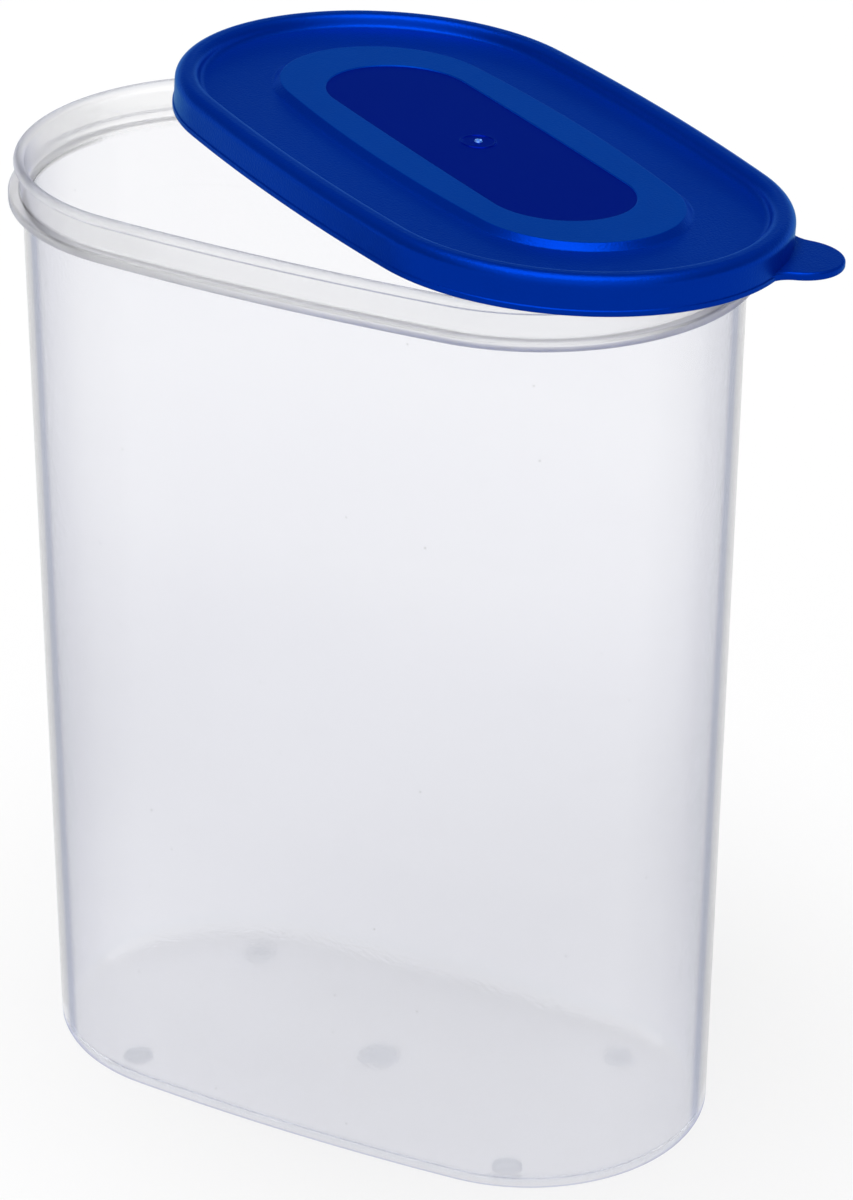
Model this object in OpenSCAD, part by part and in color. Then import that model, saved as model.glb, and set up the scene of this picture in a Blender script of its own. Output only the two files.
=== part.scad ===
// Oval dry-food keeper: a deep drafted tub and a press-on lid with a pull tab.
// The tub stands on its base pads at z = 0, its length along X and its depth along Y.
// The lid lies turned and tipped across the mouth, its skirt and panel resting on the rim.

/* [Tub] */
// Length of the tub over the rim bead
rim_len = 208; // [170:1:280]
// Depth of the tub over the rim bead, front to back
rim_dep = 117; // [95:1:150]
// Height of the tub from the base pads to the rim
tub_h = 267; // [150:1:360]
// Plan radius of the two long sides
side_r = 700; // [450:10:1200]
// Wall thickness of the tub
wall = 1.6; // [1.2:0.1:2.4]
// Thickness of the floor
floor_t = 2.0; // [1.6:0.1:3]
// How far each side draws in from the flange down to the base
draft_in = 4.6; // [2:0.2:8]
// Radius of the rounded corner between wall and base
corner_r = 5; // [3:0.5:9]

/* [Rim and flange] */
// Width of the rounded bead along the rim
bead_w = 2.9; // [2.4:0.1:3.6]
// Height of the rim bead
bead_h = 2.7; // [2:0.1:4]
// How far the neck is set in from the outside of the bead
neck_in = 1.5; // [1:0.1:2]
// Drop from the rim to the top of the flange
neck_h = 9.3; // [7:0.1:14]
// Height of the flange's edge
flange_h = 2.7; // [2:0.1:4]
// How far the flange stands out past the bead
flange_out = 1.7; // [0.8:0.1:3]
// How far the body below the flange is set in from the bead
body_in = 2.1; // [1.6:0.1:3]

/* [Base pads] */
// Radius of each corner pad
pad_r = 4; // [3:0.5:6]
// Height that the pads lift the base
pad_h = 0.8; // [0.5:0.1:1.5]
// Distance of a corner pad's centre in from the edge of the base
pad_inset = 14.5; // [10:0.5:20]
// Direction of a corner pad from the centre of the rounded end
pad_turn = 70; // [40:5:80]
// Radius of the central gate pad
gate_pad_r = 5.5; // [4:0.5:8]

/* [Lid] */
// Wall thickness of the lid
lid_wall = 1.2; // [1:0.1:1.6]
// Play between the lid's skirt and the rim bead, all round
lid_play = 0.2; // [0.1:0.05:0.4]
// Clearance between the closed lid's skirt and the flange
skirt_gap = 0.1; // [0.1:0.1:1]
// Depth of the panel below the rim band
panel_drop = 3.3; // [2:0.1:5]
// How far the thickened bottom edge stands out from the skirt
edge_out = 0.35; // [0.2:0.05:0.8]
// How far the snap bead stands in from the skirt, below the rim bead
snap_in = 0.5; // [0.3:0.05:0.7]

/* [Lid panel] */
// Distance of the raised plateau's edge in from the rim, all round
plateau_in = 26.7; // [20:0.1:30]
// Plan radius of the plateau's long sides
plateau_r = 490; // [300:10:800]
// Height of the plateau above the panel
plateau_h = 1.8; // [1:0.1:2.5]
// Distance of the polished centre's end in from the rim's end
core_end_in = 42.5; // [38:0.5:60]
// Distance of the polished centre's side in from the rim's side
core_side_in = 38; // [33:0.5:42]
// Plan radius of the centre's long sides
core_r = 2500; // [800:100:5000]
// Depth of the polished centre below the plateau
core_drop = 0.3; // [0.2:0.05:0.5]
// Radius of the ring around the gate mark
gate_ring_r = 4.9; // [3:0.1:7]

/* [Pull tab] */
// Direction of the tab from the centre of the lid's rounded end
tab_turn = 47; // [0:1:60]
// How far the tab stands out from the skirt
tab_len = 14; // [8:0.5:20]
// Radius of the tab's rounded tip
tab_r = 12.5; // [8:0.5:15]
// Thickness of the tab
tab_t = 2.3; // [1.6:0.1:3]
// Radius of the fillets where the tab leaves the skirt
tab_fillet = 7; // [4:0.5:10]

/* [Resting lid] */
// Turn of the lid about the vertical, as it lies across the mouth
lid_turn = -30.3; // [-40:0.1:-15]
// Shift of the lid's centre along the tub, as a share of the tub's length
lid_shift_x = 0.073; // [0:0.001:0.15]
// Shift of the lid's centre to the back, as a share of the tub's depth
lid_shift_y = 0.222; // [0.1:0.001:0.3]
// Gap left between the lid and the rim where they rest together
seat_gap = 0.1; // [0.05:0.05:0.3]

/* [Hidden] */
$fn = 96;

// Plan outline of the rim: two end arcs and two side arcs that share tangents.
// An oval is [half length, half depth, side radius].
rim = [rim_len / 2, rim_dep / 2, side_r];
plateau = [rim[0] - plateau_in, rim[1] - plateau_in, plateau_r];
core = [rim[0] - core_end_in, rim[1] - core_side_in, core_r];

// Radius of an oval's end arcs, the offset of their centres along X, the offset of the
// side arcs' centres along Y, and the direction in which end and side arcs meet.
function end_r(o) = (o[2]^2 - (o[2] - o[1])^2 - o[0]^2) / (2 * (o[2] - o[0]));
function end_x(o) = o[0] - end_r(o);
function side_y(o) = o[2] - o[1];
function meet(o) = atan2(side_y(o), end_x(o));

// Points along a circular arc in a profile, centre c, radius r, from angle a0 to a1.
function arc(c, r, a0, a1, n = 6) =
    [for (i = [0:n]) let (a = a0 + (a1 - a0) * i / n) c + r * [cos(a), sin(a)]];

// Profiles are drawn as [offset out from the oval, height]; deep reaches past the middle.
deep = rim_len;

// Half space that keeps the part of a side wedge on its own side of the middle.
module side_half(o) {
    translate([-2 * o[0], 0, -2 * tub_h]) cube([4 * o[0], 2 * o[1], 4 * tub_h]);
}

// Carries a profile round an oval: one wedge for each end arc and each side arc.
// The side wedges run a little way into the end wedges, a hair inside their walls,
// so that no two faces of the wedges lie on each other.
lap = 0.05;
seam = 0.02;
module oval_sweep(o) {
    for (turn = [0, 180]) rotate([0, 0, turn]) {
        translate([end_x(o), 0, 0])
            rotate_extrude(angle = 2 * meet(o), start = -meet(o))
                intersection() {
                    translate([end_r(o), 0]) children();
                    translate([0, -2 * tub_h]) square([2 * o[0], 4 * tub_h]);
                }
        intersection() {
            translate([0, -side_y(o), 0])
                rotate_extrude(angle = 180 + 2 * (lap - meet(o)), start = meet(o) - lap)
                    translate([o[2] - seam, 0]) children();
            side_half(o);
        }
    }
}

// ---- Tub ----

flange_top = tub_h - neck_h;
flange_low = flange_top - flange_h;
base_off = -body_in - draft_in;
floor_top = pad_h + floor_t;
bead_r = bead_w / 2;
inner_r = corner_r - wall / 2;
edge_r = 0.4;
bead_blend = 0.4;
ledge_drop = 0.6;

module tub_profile() {
    polygon(concat(
        [[-deep, pad_h]],
        arc([base_off - corner_r, pad_h + corner_r], corner_r, -90, 0, 8),
        [[-body_in, flange_low]],
        arc([flange_out - edge_r, flange_low + edge_r], edge_r, -90, 0, 3),
        arc([flange_out - edge_r, flange_top - edge_r], edge_r, 0, 90, 3),
        [[-neck_in, flange_top], [-neck_in, tub_h - bead_h - bead_blend]],
        arc([-bead_r, tub_h - bead_r], bead_r, -30, 180, 10),
        [[-neck_in - wall, flange_top - ledge_drop], [-body_in - wall, flange_low - ledge_drop]],
        arc([base_off - wall - inner_r, floor_top + inner_r], inner_r, 0, -90, 8),
        [[-deep, floor_top]]
    ));
}

// Centres of the four corner pads.
pad_reach = end_r(rim) + base_off - pad_inset;
pads = [for (sx = [-1, 1], sy = [-1, 1])
    [sx * (end_x(rim) + pad_reach * cos(pad_turn)), sy * pad_reach * sin(pad_turn)]];

module tub() {
    color([0.88, 0.90, 0.94, 0.6]) union() {
        oval_sweep(rim) tub_profile();
        for (p = pads) translate(p) cylinder(r = pad_r, h = pad_h + floor_t / 2);
        cylinder(r = gate_pad_r, h = pad_h + floor_t / 2);
    }
}

// ---- Lid, drawn level with its rim band's top at z = 0 ----

lid_h = neck_h + lid_wall - skirt_gap;
skirt_in = lid_play;
skirt_out = lid_play + lid_wall;
under = panel_drop + lid_wall;

// Rounding of the rim band's outer edge, and of the channel and the plug beside it.
band_r = 1.5;
channel_r = 0.6;

// The plug drops inside the rim bead with this play, and tapers by this much.
plug_play = 0.3;
plug_taper = 0.5;
plug_out = -bead_w - plug_play;

// The snap bead: height of its middle, half height of its flat, lengths of its ramps.
snap_z = -lid_wall - bead_h - 1.6;
snap_flat = 0.2;
snap_lead_in = 0.8;
snap_lead_out = 0.6;

// The skirt's thickened edge: its rounding, its height, and its blend into the skirt.
edge_round = 0.5;
edge_h = 1.5;
edge_blend = 0.5;

module lid_profile() {
    polygon(concat(
        [[-deep, -under], [plug_out - plug_taper, -under], [plug_out, -lid_wall - channel_r]],
        arc([plug_out + channel_r, -lid_wall - channel_r], channel_r, 180, 90, 3),
        arc([skirt_in - channel_r, -lid_wall - channel_r], channel_r, 90, 0, 3),
        [[skirt_in, snap_z + snap_flat + snap_lead_out]],
        [[skirt_in - snap_in, snap_z + snap_flat], [skirt_in - snap_in, snap_z - snap_flat]],
        [[skirt_in, snap_z - snap_flat - snap_lead_in], [skirt_in, -lid_h]],
        arc([skirt_out + edge_out - edge_round, edge_round - lid_h], edge_round, -90, 0, 3),
        [[skirt_out + edge_out, edge_h - lid_h], [skirt_out, edge_h + edge_blend - lid_h]],
        arc([skirt_out - band_r, -band_r], band_r, 0, 90, 6),
        arc([plug_out - lid_wall + channel_r, -channel_r], channel_r, 90, 180, 4),
        [[plug_out - lid_wall - plug_taper, -panel_drop], [-deep, -panel_drop]]
    ));
}

// The plateau stands on a sloping edge of this width, with a small bevel at its top.
plateau_top = plateau_h - panel_drop;
plateau_edge = 2;
bevel = [0.5, 0.3];

// Raised plateau with a sloping edge, drawn down to the given height.
module plateau_profile(top, low, edge) {
    polygon([[-deep, low], [edge, low], [0, top - bevel[1]], [-bevel[0], top], [-deep, top]]);
}

// Everything above the polished centre's floor.
core_top = plateau_top - core_drop;
module core_profile() {
    polygon([[-deep, 1], [0, 1], [0, core_top], [-deep, core_top]]);
}

// Gate mark in the middle of the polished centre: a low ring round a small nub.
ring_w = 0.5;
ring_h = 0.2;
nub_r = 1.1;
nub_h = 0.4;
sunk = 0.1;
module gate_mark() {
    translate([0, 0, core_top - sunk]) {
        difference() {
            cylinder(r = gate_ring_r, h = ring_h + sunk);
            translate([0, 0, sunk]) cylinder(r = gate_ring_r - ring_w, h = 1);
        }
        cylinder(r = nub_r, h = nub_h + sunk);
    }
}

// Tongue of the tab in plan, pointing along X from the centre of the rounded end. Its
// fillets are arcs that touch both the skirt and the rounded tip from outside.
skirt_r = end_r(rim) + skirt_out;
tip_x = skirt_r + tab_len - tab_r;
fillet_x = ((skirt_r + tab_fillet)^2 - (tab_r + tab_fillet)^2 + tip_x^2) / (2 * tip_x);
fillet_y = sqrt((skirt_r + tab_fillet)^2 - fillet_x^2);
module tab_outline() {
    difference() {
        union() {
            translate([tip_x, 0]) circle(r = tab_r);
            polygon([[0, 0], [fillet_x, fillet_y], [tip_x, 0], [fillet_x, -fillet_y]]);
        }
        for (side = [-1, 1]) translate([fillet_x, side * fillet_y]) circle(r = tab_fillet);
        circle(r = skirt_r - lid_wall / 2);
    }
}

module tab() {
    translate([end_x(rim), 0, -lid_h]) rotate([0, 0, tab_turn])
        linear_extrude(tab_t) tab_outline();
}

// The plateau is as thin as the rest of the lid, so it is hollow beneath.
module lid_flat() {
    difference() {
        union() {
            oval_sweep(rim) lid_profile();
            oval_sweep(plateau) plateau_profile(plateau_top, -panel_drop - 0.2, plateau_edge);
            tab();
        }
        oval_sweep(plateau)
            plateau_profile(plateau_top - lid_wall, -under - 1, plateau_edge + 0.2);
        oval_sweep(core) core_profile();
    }
    gate_mark();
}

// ---- How the lid rests ----

// Points along the rim oval at a given offset, seen in plan, n to each arc.
function oval_points(off, n) = [
    for (half = [0, 180], i = [0:n - 1])
        let (a = half - meet(rim) + 2 * meet(rim) * i / n,
             e = half == 0 ? 1 : -1)
        [e * end_x(rim), 0] + (end_r(rim) + off) * [cos(a), sin(a)],
    for (half = [0, 180], i = [0:n - 1])
        let (a = half + meet(rim) + (180 - 2 * meet(rim)) * i / n,
             e = half == 0 ? -1 : 1)
        [0, e * side_y(rim)] + (side_r + off) * [cos(a), sin(a)]];

// Distance of a plan point out from the rim oval, negative inside it.
function rim_gap(p) = let (x = abs(p[0]), y = abs(p[1]), s = y + side_y(rim))
    atan2(s, x) < meet(rim) ? norm([x - end_x(rim), y]) - end_r(rim) : norm([x, s]) - side_r;

// The lid's centre in plan, and a plan point of the lid as seen on the tub, and back.
lid_at = [lid_shift_x * rim_len, lid_shift_y * rim_dep];
function turned(p, a) = [p[0] * cos(a) - p[1] * sin(a), p[0] * sin(a) + p[1] * cos(a)];
function on_tub(p) = lid_at + turned(p, lid_turn);
function on_lid(p) = turned(p - lid_at, -lid_turn);

// Where the lid can touch the rim, as [x, y, depth below the band's top] on the lid: along
// the skirt's lower edge where it crosses the rim, and where the rim runs under the panel.
seats = [
    for (off = [skirt_in, skirt_out + edge_out / 2], p = oval_points(off, 96))
        let (g = rim_gap(on_tub(p))) if (g > -bead_w && g < 0) [p[0], p[1], lid_h],
    for (p = oval_points(-bead_r, 24))
        let (q = on_lid(p)) if (rim_gap(q) < plug_out) [q[0], q[1], under]];

// Height of the lid's centre over the rim, when it touches and rises by sx and sy along
// its own x and y.
function height(sx, sy) = max([for (s = seats) s[2] - sx * s[0] - sy * s[1]]);

// The lid settles where its centre is lowest. Each slope is closed in on by thirds.
steepest = 0.2;
steps = 18;
function settled_y(sx, lo = -steepest, hi = steepest, n = steps) =
    n == 0 ? (lo + hi) / 2 : let (a = (2 * lo + hi) / 3, b = (lo + 2 * hi) / 3)
    height(sx, a) < height(sx, b) ? settled_y(sx, lo, b, n - 1) : settled_y(sx, a, hi, n - 1);
function settled_x(lo = -steepest, hi = steepest, n = steps) =
    n == 0 ? (lo + hi) / 2 : let (a = (2 * lo + hi) / 3, b = (lo + 2 * hi) / 3)
    height(a, settled_y(a)) < height(b, settled_y(b))
        ? settled_x(lo, b, n - 1) : settled_x(a, hi, n - 1);
slope_x = settled_x();
slope_y = settled_y(slope_x);
lid_dip = -asin(slope_x);
lid_tip = asin(slope_y / cos(lid_dip));
lid_lift = height(slope_x, slope_y) + seat_gap;

module lid() {
    color([0.03, 0.22, 0.62])
        translate([lid_at[0], lid_at[1], tub_h + lid_lift])
            rotate([lid_tip, lid_dip, lid_turn]) lid_flat();
}

tub();
lid();
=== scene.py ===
# %% [markdown]
# # An oval keeper for dry food
# The object is a deep, drafted tub of frosted polypropylene and a lid of blue polyethylene
# that lies turned across its mouth. Both are thin mouldings whose cross-section hardly
# changes round the oval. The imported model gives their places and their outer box, and each
# moulding is made again here as one fine surface, with every edge rounded as a mould
# rounds it.

# %% Load the frame
import math

import bpy
import mathutils
import numpy as np
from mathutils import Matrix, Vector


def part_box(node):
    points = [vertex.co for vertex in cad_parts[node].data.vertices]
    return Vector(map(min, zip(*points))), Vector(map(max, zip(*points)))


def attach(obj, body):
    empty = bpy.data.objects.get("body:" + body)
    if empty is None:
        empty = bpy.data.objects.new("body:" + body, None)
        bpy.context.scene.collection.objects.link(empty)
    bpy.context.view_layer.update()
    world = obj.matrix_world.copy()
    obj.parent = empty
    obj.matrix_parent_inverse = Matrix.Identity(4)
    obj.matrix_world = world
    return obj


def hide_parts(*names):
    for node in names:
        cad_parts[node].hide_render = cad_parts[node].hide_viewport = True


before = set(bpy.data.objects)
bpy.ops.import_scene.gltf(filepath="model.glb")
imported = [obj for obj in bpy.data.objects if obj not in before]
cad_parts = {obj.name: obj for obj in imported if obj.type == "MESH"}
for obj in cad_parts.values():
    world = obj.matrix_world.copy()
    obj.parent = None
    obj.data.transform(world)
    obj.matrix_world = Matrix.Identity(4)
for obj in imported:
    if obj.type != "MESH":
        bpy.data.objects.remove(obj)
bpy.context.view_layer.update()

# %% [markdown]
# ## Sizes
# All sizes are in millimetres and become metres only when a mesh is made. They are the
# construction's own sizes. Offsets are measured outwards from the outline of the rim, so a
# wall that is set in has a negative one.

# %% Sizes of the tub
MM = 0.001

RIM_LENGTH, RIM_DEPTH, RIM_SIDE_RADIUS = 208.0, 117.0, 700.0
TUB_HEIGHT = 267.0
WALL = 1.6
FLOOR = 2.0
PAD_HEIGHT = 0.8

BEAD_WIDTH, BEAD_HEIGHT, BEAD_BLEND = 2.9, 2.7, 0.4
NECK_IN, NECK_HEIGHT = 1.5, 9.3
FLANGE_OUT, FLANGE_HEIGHT = 1.66, 2.7
BODY_IN, DRAFT_IN, CORNER_RADIUS = 2.1, 4.6, 5.0
LEDGE_DROP = 0.6

FLANGE_TOP = TUB_HEIGHT - NECK_HEIGHT
FLANGE_LOW = FLANGE_TOP - FLANGE_HEIGHT
BASE_OFFSET = -BODY_IN - DRAFT_IN
FLOOR_TOP = PAD_HEIGHT + FLOOR
print("tub", RIM_LENGTH, "by", RIM_DEPTH, "by", TUB_HEIGHT, "mm")

# %% Sizes of the lid, drawn level with the top of its band at z = 0
LID_WALL, LID_PLAY, SKIRT_GAP = 1.2, 0.2, 0.1
PANEL_DROP = 3.3
EDGE_OUT, EDGE_HEIGHT, EDGE_BLEND = 0.35, 1.5, 0.25
SNAP_IN = 0.5
PLUG_PLAY, PLUG_TAPER = 0.3, 0.5

LID_HEIGHT = NECK_HEIGHT + LID_WALL - SKIRT_GAP
SKIRT_IN = LID_PLAY
SKIRT_OUT = LID_PLAY + LID_WALL
PLUG_OUT = -BEAD_WIDTH - PLUG_PLAY
PANEL_UNDER = -PANEL_DROP - LID_WALL
SNAP_Z = -LID_WALL - BEAD_HEIGHT - 1.6

PLATEAU_IN, PLATEAU_SIDE_RADIUS, PLATEAU_HEIGHT, PLATEAU_EDGE = 26.7, 490.0, 1.8, 2.0
CORE_END_IN, CORE_SIDE_IN, CORE_SIDE_RADIUS, CORE_DROP = 42.5, 38.0, 2500.0, 0.3
PLATEAU_TOP = PLATEAU_HEIGHT - PANEL_DROP
CORE_TOP = PLATEAU_TOP - CORE_DROP

TAB_TURN, TAB_LENGTH, TAB_RADIUS, TAB_THICK, TAB_FILLET = 47.0, 14.0, 12.5, 2.3, 7.0
print("lid skirt from", SKIRT_IN, "to", SKIRT_OUT, "mm off the rim,", LID_HEIGHT, "mm deep")

# %% How the lid lies on the rim: turn, tip and dip in degrees, and its centre in plan
LID_TURN, LID_TIP, LID_DIP = -30.3, -3.711, 0.2395
LID_CENTRE = (15.184, 25.974)
print("lid turned by", LID_TURN, "and tipped by", LID_TIP, "degrees")

# %% [markdown]
# ## Ovals
# Seen from above, the rim is four arcs: two round ends and two long sides that are nearly
# straight. An ellipse or a rounded box would be quicker, but neither has the real outline.
# Each oval gives the same number of stations to each arc, so a ring of one oval can be
# joined to a ring of another, station by station, across a flat stretch between them.

# %% Four-arc ovals
END_STATIONS, SIDE_STATIONS = 120, 44
ARC_STATIONS = (END_STATIONS, SIDE_STATIONS, END_STATIONS, SIDE_STATIONS)
STATIONS = sum(ARC_STATIONS)

arc_of = np.repeat(np.arange(4), ARC_STATIONS)
share_of = np.concatenate([np.arange(n) / n for n in ARC_STATIONS])


def oval(half_length, half_depth, side_radius):
    """Outline and outward normals of a four-arc oval.

    With a half length, b half depth and R side radius, the end radius is
    (R² - (R - b)² - a²) / (2 (R - a)), which makes ends and sides share their tangents.
    A point is its arc's centre + radius * (cos angle, sin angle).
    """
    side_y = side_radius - half_depth
    end_radius = ((side_radius**2 - side_y**2 - half_length**2)
                  / (2 * (side_radius - half_length)))
    end_x = half_length - end_radius
    meet = math.atan2(side_y, end_x)
    starts = np.array([-meet, meet, math.pi - meet, math.pi + meet])
    sweeps = np.array([2 * meet, math.pi - 2 * meet, 2 * meet, math.pi - 2 * meet])
    angle = starts[arc_of] + sweeps[arc_of] * share_of
    radii = np.array([end_radius, side_radius, end_radius, side_radius])[arc_of]
    centres = np.array([[end_x, 0], [0, -side_y], [-end_x, 0], [0, side_y]])[arc_of]
    normals = np.stack([np.cos(angle), np.sin(angle)], axis=1)
    outline = centres + radii[:, None] * normals
    return {"outline": outline, "normals": normals,
            "end_x": end_x, "end_radius": end_radius}


def circle_like(shape):
    """A point at the centre as an oval: an offset from it is a circle, and each station
    lies in the direction of the given oval's station."""
    directions = shape["outline"] / np.linalg.norm(shape["outline"], axis=1)[:, None]
    return {"outline": 0 * directions, "normals": directions}


rim = oval(RIM_LENGTH / 2, RIM_DEPTH / 2, RIM_SIDE_RADIUS)
plateau = oval(RIM_LENGTH / 2 - PLATEAU_IN, RIM_DEPTH / 2 - PLATEAU_IN, PLATEAU_SIDE_RADIUS)
core = oval(RIM_LENGTH / 2 - CORE_END_IN, RIM_DEPTH / 2 - CORE_SIDE_IN, CORE_SIDE_RADIUS)
print("stations round", STATIONS, "end radius", round(rim["end_radius"], 2))

# %% [markdown]
# ## Rounded profiles
# A moulding's cross-section is a list of corners, each with its own rounding. The corners
# become arcs, and a point is held just beyond each arc, so that smooth shading keeps the
# flats flat and only the edges round. A Bevel modifier could round them too, but it would
# give every edge one radius, and here they run from a tenth of a millimetre to five.

# %% Corners to arcs
HOLD = 0.15
ARC_STEP = math.radians(11)
FEWEST_STEPS = 3


def corner_arc(corner, before, after, radius, reach, half):
    """Points of the arc that rounds a corner between two sides.

    before and after are the directions of the sides, and half is half the corner's angle.
    The arc's centre is at radius / sin(half) along the bisector, and it runs between the
    points at reach from the corner on both sides.
    """
    bisector = (after - before) / np.linalg.norm(after - before)
    centre = corner + bisector * radius / math.sin(half)
    first, last = corner - before * reach - centre, corner + after * reach - centre
    start = math.atan2(first[1], first[0])
    sweep = (math.atan2(last[1], last[0]) - start + math.pi) % (2 * math.pi) - math.pi
    steps = max(FEWEST_STEPS, math.ceil(abs(sweep) / ARC_STEP))
    angle = start + sweep * np.linspace(0, 1, steps + 1)
    return centre + radius * np.stack([np.cos(angle), np.sin(angle)], axis=1)


# %% A profile with its corners rounded
def rounded(corners):
    """Points of a profile whose corners (offset, height, radius) are arcs.

    An arc reaches radius / tan(half the corner's angle) along both sides, and a point is
    held just beyond it on each. A corner with no radius, as at the ends, stays sharp.
    """
    at = np.array([c[:2] for c in corners], float)
    sides = np.diff(at, axis=0)
    lengths = np.linalg.norm(sides, axis=1)
    along = sides / lengths[:, None]
    cosines = np.clip(-np.sum(along[:-1] * along[1:], axis=1), -1, 1)
    half = np.arccos(cosines) / 2
    radii = np.array([c[2] if len(c) > 2 else 0 for c in corners[1:-1]], float)
    reach = np.concatenate([[0], radii / np.tan(half), [0]])
    left_flat = lengths - reach[:-1] - reach[1:]
    assert left_flat.min() > -1e-6, f"roundings overlap on side {left_flat.argmin()}"
    hold = np.minimum(HOLD, left_flat / 4)
    points = [at[:1]]
    for i, radius in enumerate(radii, start=1):
        corner, before, after = at[i], along[i - 1], along[i]
        if radius == 0:
            points.append(corner[None])
            continue
        points.append(corner - before * (reach[i] + hold[i - 1]))
        points.append(corner_arc(corner, before, after, radius, reach[i], half[i - 1]))
        points.append(corner + after * (reach[i] + hold[i]))
    points.append(at[-1:])
    return np.concatenate([p.reshape(-1, 2) for p in points])


# %% Profiles carried round an oval
def carried(shape, profile):
    """Rings of a profile round an oval: outline + offset * normal, at each height."""
    plan = shape["outline"][None] + profile[:, :1, None] * shape["normals"][None]
    height = np.broadcast_to(profile[:, 1][:, None, None], plan.shape[:2] + (1,))
    return np.concatenate([plan, height], axis=2)


def flat_rings(shape, offsets, height):
    """Rings of an oval that all lie at one height."""
    return carried(shape, np.array([[offset, height] for offset in offsets], float))


square = [(0, 0), (5, 0, 1.0), (5, 5)]
print("a square corner rounded by 1 mm has", len(rounded(square)) - 2, "points")

# %% [markdown]
# ## From rings to a closed skin
# Rings stacked one after another make a grid: one parameter runs along the profile, the
# other round the oval. The grid starts and ends at a pole, a single point in the middle of
# the underside and of the top, so the skin is closed and has an inside. Blender's Screw or
# Skin tools could make such shapes too, but a grid says exactly which face is where.

# %% Skins
def closed_skin(rings):
    """Vertices and faces of a stack of rings, closed by a pole at each end.

    Vertex k of ring j has the index 1 + j * n + k. Each grid cell is a quad, and the first
    and last rings are joined to their own centres by triangles.
    """
    count, n = rings.shape[:2]
    poles = rings[[0, -1]].mean(axis=1)
    vertices = np.concatenate([poles[:1], rings.reshape(-1, 3), poles[1:]])
    k = np.arange(n)
    after = (k + 1) % n
    row = 1 + np.arange(count - 1)[:, None] * n
    quads = np.stack([row + k, row + after, row + n + after, row + n + k], axis=2)
    last = 1 + (count - 1) * n
    fans = np.concatenate([
        np.stack([0 * k, 1 + after, 1 + k], axis=1),
        np.stack([0 * k + last + n, last + k, last + after], axis=1)])
    return vertices, quads.reshape(-1, 4), fans


def volume(vertices, quads, fans):
    """Enclosed volume: the sum of a . (b x c) / 6 over the triangles."""
    corners = vertices[np.concatenate([quads[:, [0, 1, 2]], quads[:, [0, 2, 3]], fans])]
    return np.sum(corners[:, 0] * np.cross(corners[:, 1], corners[:, 2])) / 6


def outward(skin):
    """The same skin with its faces turned outwards, which makes its volume positive."""
    vertices, quads, fans = skin
    if volume(*skin) < 0:
        quads, fans = quads[:, ::-1], fans[:, ::-1]
    return vertices, quads, fans


def join(*skins):
    """Several closed skins as one, with the indices of each moved past the ones before."""
    starts = np.cumsum([0] + [len(v) for v, q, f in skins])
    return (np.concatenate([v for v, q, f in skins]),
            np.concatenate([q + s for s, (v, q, f) in zip(starts, skins)]),
            np.concatenate([f + s for s, (v, q, f) in zip(starts, skins)]))


box = np.array([[(1, 1, z), (-1, 1, z), (-1, -1, z), (1, -1, z)] for z in (0, 1)], float)
print("a box of 2 by 2 by 1 has the volume", volume(*outward(closed_skin(box))))


# %% A skin as a mesh object
def piece(name, skin, materials, finish=0):
    """A smooth mesh object in metres, made of a skin in millimetres, at the origin.

    finish is the material slot of every face, or of each quad and then each triangle.
    """
    vertices, quads, fans = skin
    mesh = bpy.data.meshes.new(name)
    sizes = np.concatenate([np.full(len(quads), 4), np.full(len(fans), 3)])
    mesh.vertices.add(len(vertices))
    mesh.vertices.foreach_set("co", (vertices * MM).astype(np.float32).ravel())
    mesh.loops.add(int(sizes.sum()))
    mesh.loops.foreach_set("vertex_index", np.concatenate([quads.ravel(), fans.ravel()]))
    mesh.polygons.add(len(sizes))
    mesh.polygons.foreach_set("loop_start", np.concatenate([[0], np.cumsum(sizes)[:-1]]))
    mesh.polygons.foreach_set("use_smooth", np.ones(len(sizes), bool))
    for material in materials:
        mesh.materials.append(material)
    slots = np.broadcast_to(np.asarray(finish, np.int32), len(sizes))
    mesh.polygons.foreach_set("material_index", slots.copy())
    mesh.update(calc_edges=True)
    mesh.validate()
    made = bpy.data.objects.new(name, mesh)
    bpy.context.scene.collection.objects.link(made)
    triangles = 2 * len(quads) + len(fans)
    print(name, "vertices", len(vertices), "triangles", triangles,
          "volume", round(volume(*skin) / 1000, 1), "ml")
    return made


print("skins are in millimetres and meshes in metres, so they shrink by", MM)

# %% [markdown]
# ## The tub
# On the real tub the skin runs from the middle of the base out to the rounded corner, up
# the drafted wall, round the flange, the neck and the rim bead, and down the inside to the
# floor. One profile carried round the rim's oval is all of that, with a true wall
# thickness, which frosted plastic needs because light passes through it. The pads under
# the base are small turned discs that are sunk a little way into it.

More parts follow.
